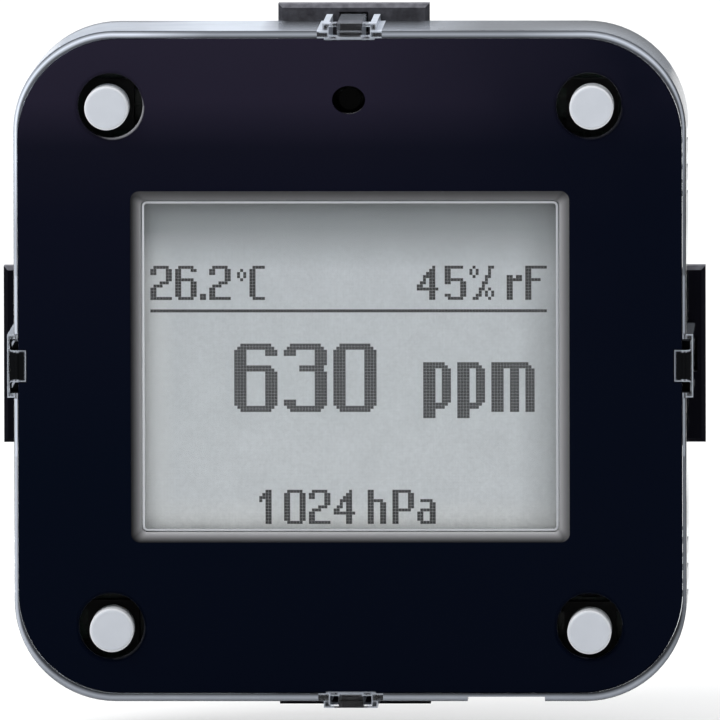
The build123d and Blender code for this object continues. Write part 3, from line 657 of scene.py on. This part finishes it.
# ---------------------------------------------------------------- display dots
# A glyph is a list of bars (first column, first row, last column, last row) on the display's dot grid. The
# glyphs and their places follow the characters on the real display.
SMALL = {
    "0": [(1, 0, 5, 0), (0, 1, 1, 9), (5, 1, 6, 9), (1, 10, 5, 10)],
    "1": [(2, 0, 3, 10), (1, 1, 1, 2), (0, 2, 0, 3)],
    "2": [(1, 0, 5, 0), (0, 1, 1, 2), (5, 1, 6, 4), (3, 5, 5, 5), (1, 6, 3, 6), (0, 7, 1, 9),
          (0, 10, 6, 10)],
    "4": [(4, 1, 5, 10), (5, 0, 5, 0), (3, 2, 3, 3), (2, 3, 2, 5), (1, 5, 1, 6), (0, 6, 0, 6),
          (0, 7, 6, 7)],
    "5": [(0, 0, 5, 0), (0, 1, 1, 5), (2, 4, 5, 4), (5, 5, 6, 9), (0, 9, 1, 9), (1, 10, 5, 10)],
    "6": [(1, 0, 5, 0), (0, 1, 1, 9), (5, 1, 6, 1), (2, 4, 5, 4), (5, 5, 6, 9), (1, 10, 5, 10)],
    ".": [(0, 9, 1, 10)],
    "C": [(1, 0, 4, 0), (0, 1, 1, 9), (1, 10, 4, 10)],
    "degree": [(1, 1, 1, 1), (0, 2, 0, 3), (2, 2, 2, 3), (1, 4, 1, 4)],
    "%": [(1, 0, 1, 0), (0, 1, 0, 2), (2, 1, 2, 2), (1, 3, 1, 3), (6, 7, 6, 7), (5, 8, 5, 9),
          (7, 8, 7, 9), (6, 10, 6, 10), (6, 0, 7, 0), (6, 1, 6, 3), (5, 3, 5, 5), (4, 5, 4, 7),
          (3, 7, 3, 9), (2, 9, 2, 10), (1, 10, 1, 10)],
    "r": [(0, 3, 1, 10), (3, 3, 4, 4), (2, 4, 2, 4)],
    "F": [(0, 0, 6, 0), (0, 1, 1, 10), (2, 4, 4, 4)],
    "h": [(0, 0, 1, 10), (2, 3, 4, 3), (4, 4, 5, 10)],
    "P": [(0, 0, 1, 10), (2, 0, 5, 0), (5, 1, 6, 5), (2, 6, 5, 6)],
    "a": [(1, 3, 4, 3), (4, 4, 5, 10), (1, 6, 3, 6), (0, 7, 1, 9), (1, 10, 3, 10)],
}
LARGE = {
    "0": [(2, 0, 11, 0), (1, 1, 12, 1), (0, 2, 3, 19), (10, 2, 13, 19), (1, 20, 12, 20), (2, 21, 11, 21)],
    "3": [(2, 0, 11, 0), (1, 1, 12, 1), (0, 2, 3, 3), (10, 2, 13, 6), (5, 7, 12, 8), (10, 9, 13, 19),
          (0, 18, 3, 19), (1, 20, 12, 20), (2, 21, 11, 21)],
    "6": [(2, 0, 11, 0), (1, 1, 12, 1), (0, 2, 3, 19), (10, 2, 13, 3), (4, 7, 11, 7), (4, 8, 12, 8),
          (10, 9, 13, 19), (1, 20, 12, 20), (2, 21, 11, 21)],
    "p": [(0, 0, 3, 17), (4, 0, 6, 0), (4, 1, 7, 1), (6, 2, 8, 12), (4, 13, 7, 13), (4, 14, 6, 14)],
    "m": [(0, 0, 3, 15), (4, 0, 11, 0), (4, 1, 12, 1), (6, 2, 8, 15), (11, 2, 13, 15)],
}
UPPER_LINE = [("2", 0), ("6", 8), (".", 16), ("2", 19), ("degree", 28), ("C", 32),
              ("4", 86), ("5", 95), ("%", 103), ("r", 115), ("F", 121)]
READING = [("6", 27), ("3", 43), ("0", 59)]
UNIT = [("p", 88), ("p", 99), ("m", 110)]
LOWER_LINE = [("1", 35), ("0", 43), ("2", 51), ("4", 59), ("h", 70), ("P", 78), ("a", 86)]
COLUMNS = 128
UPPER_ROW, RULE_ROW, READING_ROW, UNIT_ROW, LOWER_ROW = 0, 14, 25, 31, 72
GAP = 0.015 * MM
PRINT_FRONT = 0.02 * MM
PRINT_BACK = 0.01 * MM


def cells(line, glyphs, first_row):
    """Dots of a line of glyphs, as a sorted list of (column, row)."""
    lit = set()
    for sign, start in line:
        for c0, r0, c1, r1 in glyphs[sign]:
            lit.update((start + c, first_row + r) for c in range(c0, c1 + 1) for r in range(r0, r1 + 1))
    return sorted(lit)


def print_dots(name, lit, material):
    """Thin raised tiles on the display's front glass, one per dark dot."""
    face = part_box("lcd_front_glass")[0][1]
    built = bmesh.new()
    for column, row in lit:
        left = FIRST_COLUMN + column * DOT + GAP / 2
        top = FIRST_ROW - row * ROW_PITCH - GAP / 2
        corners = [built.verts.new((left + dx * (DOT - GAP), face + depth, top - dz * (DOT - GAP)))
                   for depth in (-PRINT_FRONT, PRINT_BACK) for dx, dz in ((0, 0), (0, 1), (1, 1), (1, 0))]
        built.faces.new(corners[:4])
        built.faces.new(corners[:3:-1])
        for i in range(4):
            j = (i + 1) % 4
            built.faces.new((corners[j], corners[i], corners[4 + i], corners[4 + j]))
    mesh = bpy.data.meshes.new(name)
    built.normal_update()
    built.to_mesh(mesh)
    built.free()
    mesh.materials.append(material)
    piece = add_object(name, mesh)
    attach(piece, "monitor")


dark_dots = finish("display_dots", (0.022, 0.024, 0.027), roughness=0.45, patch=0.8 * MM, relief=0,
                   spread=0.2)
pale_dots = finish("display_dots_large", (0.060, 0.064, 0.070), roughness=0.45, patch=0.8 * MM, relief=0,
                   spread=0.2)
print_dots("display_upper_line", cells(UPPER_LINE, SMALL, UPPER_ROW), dark_dots)
print_dots("display_rule", [(column, RULE_ROW) for column in range(COLUMNS)], dark_dots)
print_dots("display_reading", cells(READING, LARGE, READING_ROW), pale_dots)
print_dots("display_unit", cells(UNIT, LARGE, UNIT_ROW), pale_dots)
print_dots("display_lower_line", cells(LOWER_LINE, SMALL, LOWER_ROW), dark_dots)
